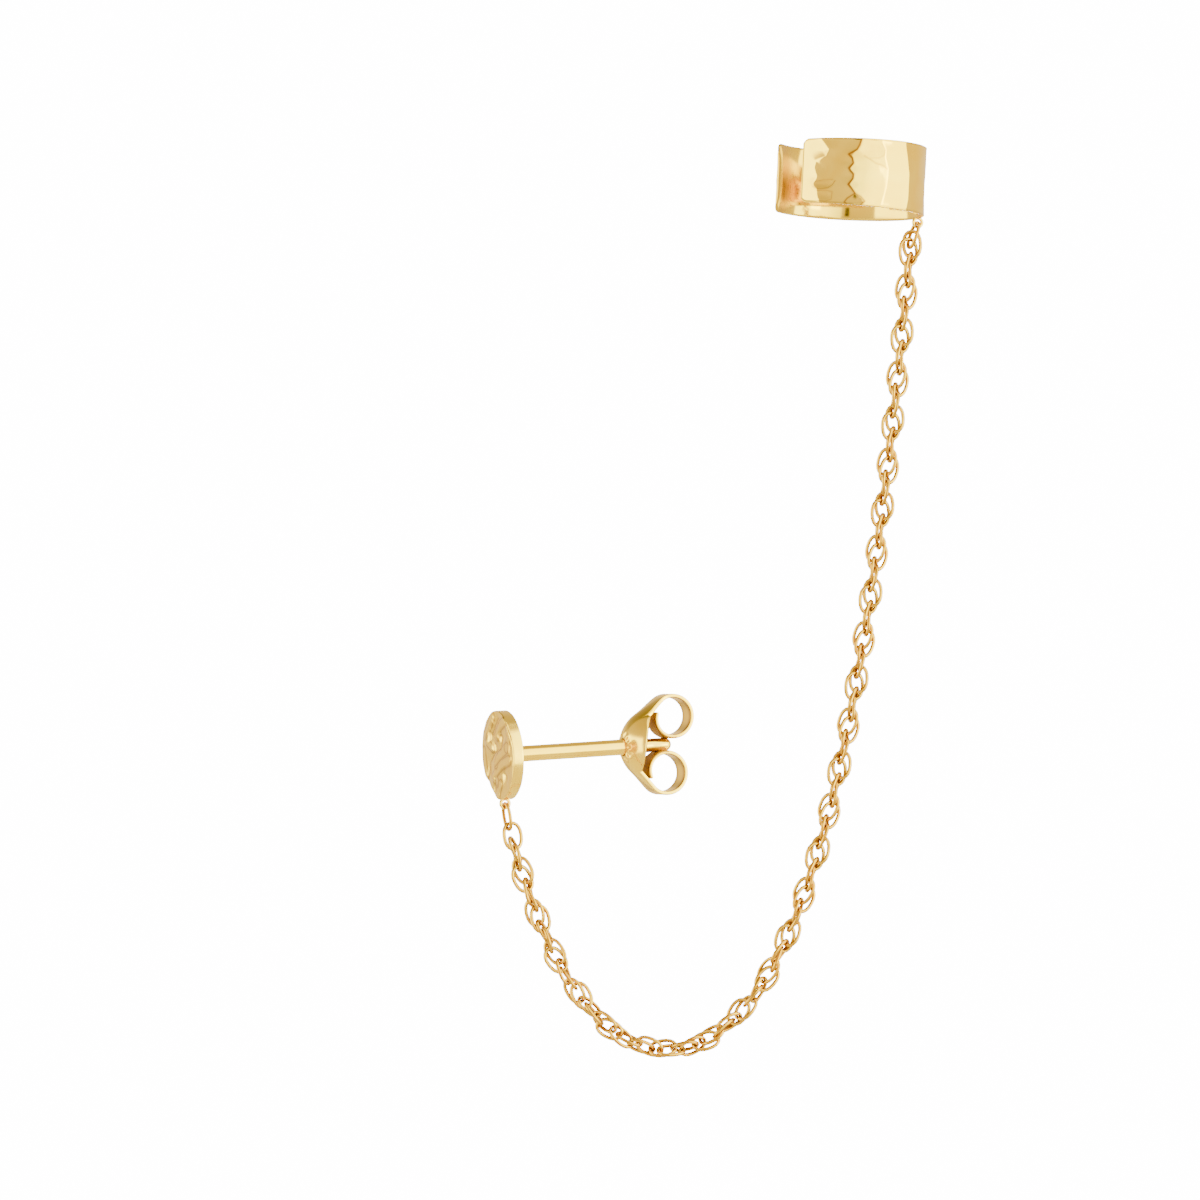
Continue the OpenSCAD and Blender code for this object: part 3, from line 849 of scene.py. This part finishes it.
def hung_run_tree(wanted, material):
    """Links along a catenary, in pairs that turn a quarter from one pair to the next. The two links of a pair
    lie side by side and lean across each other."""
    tree, given = open_tree("hung_run", wanted)
    number = Num(tree, add(tree, "GeometryNodeInputIndex").outputs[0]) + given["First link"]
    pair = (number / 2).math("CEIL", number / 2)
    odd = number.math("FLOORED_MODULO", number, 2)
    side = 1 - odd * 2
    t = given["Run start"] + given["Pair step"] * pair - given["Pair lag"] * odd
    k = t / given["Bend radius"]
    rise = (k * k + 1).math("SQRT", k * k + 1)
    reach = (k + rise).math("LOGARITHM", k + rise, math.e)
    low_x, low_y, low_z = split_vector(tree, given["Low point"])
    across, up = given["Bend radius"] * reach, given["Bend radius"] * (rise - 1)
    at = join_vector(tree, low_x + across, low_y, low_z + up)
    drift = (t / given["Drift length"]).within(-1, 1) * (math.pi / 2)
    roll = pair * (math.pi / 2) + math.pi / 4 + drift.math("SINE", drift) * (math.pi / 4)
    upright = hung(tree, roll, k.math("ARCTANGENT", k))
    aside = join_vector(tree, 0.0, side * given["Pair side"], 0.0)
    shift = add(tree, "FunctionNodeRotateVector", None, {0: aside, 1: upright}).outputs[0]
    centre = vector_math(tree, "ADD", {0: at, 1: shift}).outputs[0]
    twisted = turn_more(tree, upright, (1, 0, 0), -side * given["Twist"], "LOCAL")
    nodded = turn_more(tree, twisted, (0, 1, 0), -side * given["Nod"], "LOCAL")
    rotation = turn_more(tree, nodded, (0, 0, 1), given["Yaw"], "LOCAL")
    spots = add(tree, "GeometryNodePoints", None, {"Count": given["Link count"]})
    placed = add(tree, "GeometryNodeSetPosition", None, {"Geometry": spots.outputs[0], "Position": centre})
    close_tree(tree, placed.outputs[0], oval_link(tree, given), rotation, material)
    return tree


def end_link_tree(wanted, material):
    """One link that hangs in an eyelet and reaches towards a point of the run."""
    tree, given = open_tree("end_link", wanted)
    way = vector_math(tree, "SUBTRACT", {0: given["Towards"], 1: given["Eye"]}).outputs[0]
    unit = vector_math(tree, "NORMALIZE", {0: way}).outputs[0]
    half = vector_math(tree, "SCALE", {0: unit, "Scale": given["Hang"]}).outputs[0]
    centre = vector_math(tree, "ADD", {0: given["Eye"], 1: half}).outputs[0]
    x, _, z = split_vector(tree, unit)
    rotation = hung(tree, given["Roll"], z.math("ARCTAN2", z, x))
    spots = add(tree, "GeometryNodePoints", None, {"Count": 1, "Position": centre})
    close_tree(tree, spots.outputs[0], oval_link(tree, given), rotation, material)
    return tree


def grown(name, tree, wanted):
    """The plain mesh that a tree makes of its inputs."""
    seed = bpy.data.objects.new(name + "_seed", bpy.data.meshes.new(name + "_seed"))
    bpy.context.scene.collection.objects.link(seed)
    grow = seed.modifiers.new("grow", "NODES")
    grow.node_group = tree
    for item in tree.interface.items_tree:
        if item.in_out == "INPUT":
            grow[item.identifier] = wanted[item.name]
    view = bpy.context.evaluated_depsgraph_get()
    mesh = bpy.data.meshes.new_from_object(seed.evaluated_get(view), depsgraph=view)
    mesh.name = name
    seed.modifiers.remove(grow)
    bpy.data.objects.remove(seed)
    shape = bmesh.new()
    shape.from_mesh(mesh)
    bmesh.ops.recalc_face_normals(shape, faces=shape.faces)
    shape.to_mesh(mesh)
    shape.free()
    return mesh


def run_point(t):
    """The point of the run at a length along it from its lowest point."""
    k = t / BEND
    return LOW + BEND * np.array([math.asinh(k), 0, math.sqrt(k * k + 1) - 1])


# The named inputs of the trees, in metres and radians
LINK = {"Link length": LINK_LONG * MM, "Link width": LINK_WIDE * MM, "Wire": WIRE * MM}
RUN = {
    "First link": 0, "Link count": LOWER_LINKS, "Low point": tuple(LOW * MM), "Bend radius": BEND * MM,
    "Run start": RUN_START * MM, "Pair step": STEP * MM, "Pair lag": LAG * MM, "Drift length": DRIFT * MM,
    "Pair side": PAIR_SIDE * MM, "Twist": math.radians(PAIR_TWIST), "Nod": math.radians(PAIR_NOD),
    "Yaw": math.radians(PAIR_YAW), **LINK,
}
END = {"Eye": (0.0, 0.0, 0.0), "Towards": (0.0, 0.0, 0.0), "Roll": 0.0, "Hang": HANG * MM, **LINK}

run_tree = hung_run_tree(RUN, link_gold)
end_tree = end_link_tree(END, link_gold)


def hung_links(name, first, count, node):
    mesh = grown(name, run_tree, {**RUN, "First link": first, "Link count": count})
    dress(name, mesh, link_gold, node)


def end_link(name, eye, towards, roll, node):
    wanted = {**END, "Eye": tuple(eye * MM), "Towards": tuple(towards * MM), "Roll": math.radians(roll)}
    dress(name, grown(name, end_tree, wanted), link_gold, node)


stud_eye = STUD_TURN @ np.array(STUD_EYE)
cuff_eye = CUFF_TURN @ (turn("Z", CUFF_EYE_TURN) @ np.array(CUFF_EYE)) + CUFF_AT
next_link = RUN_START + STEP * math.ceil((LOWER_LINKS + UPPER_LINKS) / 2) - LAG
hung_links("chain_lower_links", 0, LOWER_LINKS, "chain_lower")
hung_links("chain_upper_links", LOWER_LINKS, UPPER_LINKS, "chain_upper")
end_link("chain_end_at_stud", stud_eye, run_point(RUN_START - HANG + HOOK), STUD_ROLL, "chain_lower")
end_link("chain_end_at_cuff", cuff_eye, run_point(next_link - HANG), CUFF_ROLL, "chain_upper")


# Studio


def floor_surface():
    """A pale floor well below the object."""
    mesh = bpy.data.meshes.new("floor")
    reach, level = 0.60, -0.31
    corners = [(x * reach, y * reach, level) for x, y in ((-1, -1), (1, -1), (1, 1), (-1, 1))]
    mesh.from_pydata(corners, [], [(0, 1, 2, 3)])
    material = bpy.data.materials.new("pale_floor")
    material.use_nodes = True
    shader = material.node_tree.nodes["Principled BSDF"]
    shader.inputs["Base Color"].default_value = (0.90, 0.86, 0.90, 1)
    shader.inputs["Roughness"].default_value = 0.8
    mesh.materials.append(material)
    floor = bpy.data.objects.new("floor", mesh)
    bpy.context.scene.collection.objects.link(floor)


def softbox(name, azimuth, elevation, distance, width, height, glow):
    """A soft rectangular light that faces the object. glow is its brightness as the metal mirrors it."""
    light = bpy.data.lights.new(name, "AREA")
    light.shape = "RECTANGLE"
    light.size = width
    light.size_y = height
    light.energy = glow * width * height * math.pi
    light.color = (1.0, 0.86, 0.50)
    lamp = bpy.data.objects.new(name, light)
    a, e = math.radians(azimuth), math.radians(elevation)
    away = Vector((math.cos(a) * math.cos(e), math.sin(a) * math.cos(e), math.sin(e)))
    lamp.location = Vector((0.008, 0.0, 0.012)) + away * distance
    lamp.rotation_euler = away.to_track_quat("Z", "Y").to_euler()
    bpy.context.scene.collection.objects.link(lamp)


def studio_surround():
    """The light that the metal mirrors: large pale boxes on the right and the left, white behind the object,
    and a dark gap where the camera stands. Azimuths are in degrees from the x axis, and heights are shares of
    the way up."""
    world = bpy.data.worlds.new("studio")
    bpy.context.scene.world = world
    world.use_nodes = True
    tree = world.node_tree
    tree.nodes.clear()
    x, y, z = split_vector(tree, add(tree, "ShaderNodeTexCoord").outputs["Generated"])
    azimuth = y.math("ARCTAN2", y, x) * (180 / math.pi)
    height = abs(z)

    def sector(start, stop, soft):
        """1 between two azimuths, with soft sides."""
        return azimuth.ease(start - soft, start + soft) * (1 - azimuth.ease(stop - soft, stop + soft))

    behind = y.ease(0.9925, 0.9975)
    right_box = sector(-80, 8, 1.5) * (1 - height.ease(0.80, 0.93))
    left_box = (sector(-190, -135.5, 1.5) + sector(157, 190, 2)) * (1 - height.ease(0.22, 0.42))
    camera_gap = sector(-93, -86, 1.0) * z.ease(-0.4, -0.3) * (1 - z.ease(-0.02, 0.02))
    back_gap = sector(105, 150, 5) * height.ease(0.2, 0.45)
    bright_edge = sector(-44, -26, 2) * (1 - height.ease(0.12, 0.25))
    dim = 1.62 - height * 0.75
    boxes = right_box * (azimuth.ease(-81, -45) * 2.4 + 2.2) + left_box * 4.6 + bright_edge * 6.0
    glow = dim - camera_gap * 1.35 - back_gap * 0.65 + boxes + behind * 14.0
    warm = mix_colour(tree, right_box.most(left_box), (1.0, 0.73, 0.42, 1), (1.0, 0.90, 0.40, 1))
    colour = mix_colour(tree, behind, warm, (1, 1, 1, 1))
    sky = add(tree, "ShaderNodeBackground", None, {"Color": colour, "Strength": glow})
    add(tree, "ShaderNodeOutputWorld", None, {"Surface": sky.outputs[0]})


def photo_camera():
    """The photograph's view: level, from the front, through a long lens. The frame is 75 mm wide at the plane
    that the chain hangs in, 16 pixels to the millimetre."""
    lens = bpy.data.cameras.new("photo_camera")
    lens.lens = 400
    lens.sensor_width = 36
    lens.clip_start = 0.01
    camera = bpy.data.objects.new("photo_camera", lens)
    back = 75 * MM * lens.lens / lens.sensor_width
    camera.location = (35 / 16 * MM, -1.44 * MM - back, 9.45 * MM)
    camera.rotation_euler = (math.pi / 2, 0, 0)
    bpy.context.scene.collection.objects.link(camera)
    bpy.context.scene.camera = camera


floor_surface()
studio_surround()
softbox("top_softbox", azimuth=-90, elevation=75, distance=0.32, width=0.20, height=0.16, glow=3.0)
photo_camera()
